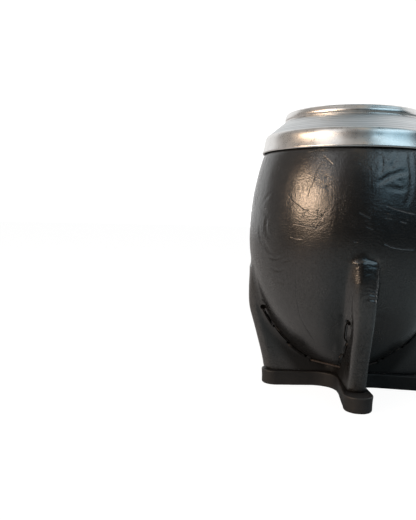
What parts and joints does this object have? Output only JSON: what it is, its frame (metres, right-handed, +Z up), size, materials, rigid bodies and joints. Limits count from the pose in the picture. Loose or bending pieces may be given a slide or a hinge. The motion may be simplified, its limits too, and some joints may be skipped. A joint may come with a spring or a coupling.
{
  "type": "mate cup",
  "caption": "Gourd drinking cup in a moulded leather cover pinched into sewn leg fins, on a cross-shaped leather sole, with a spun metal collar round the mouth.",
  "frame": {"origin": "on the ground under the gourd's axis", "axes": "+Z up through the mouth, the front leg along -Y, +X to the right"},
  "size_m": [0.084, 0.084, 0.1162],
  "materials": {
    "gourd": "dry, cured inside",
    "cover_leather": "waxed, satin",
    "collar_metal": "spun, polished lip and shoulder",
    "sole_leather": "matte, cut edge",
    "filler_leather": "raw",
    "thread": "waxed"
  },
  "bodies": {
    "root": {"gourd_shell": "gourd", "leather_cover": "cover_leather", "collar": "collar_metal", "sole": "sole_leather", "draw_thread": "thread", "fin_filler_front": "filler_leather", "fin_filler_right": "filler_leather", "fin_filler_back": "filler_leather", "fin_filler_left": "filler_leather", "seam_thread_front": "thread", "seam_thread_right": "thread", "seam_thread_back": "thread", "seam_thread_left": "thread"}
  },
  "joints": []
}
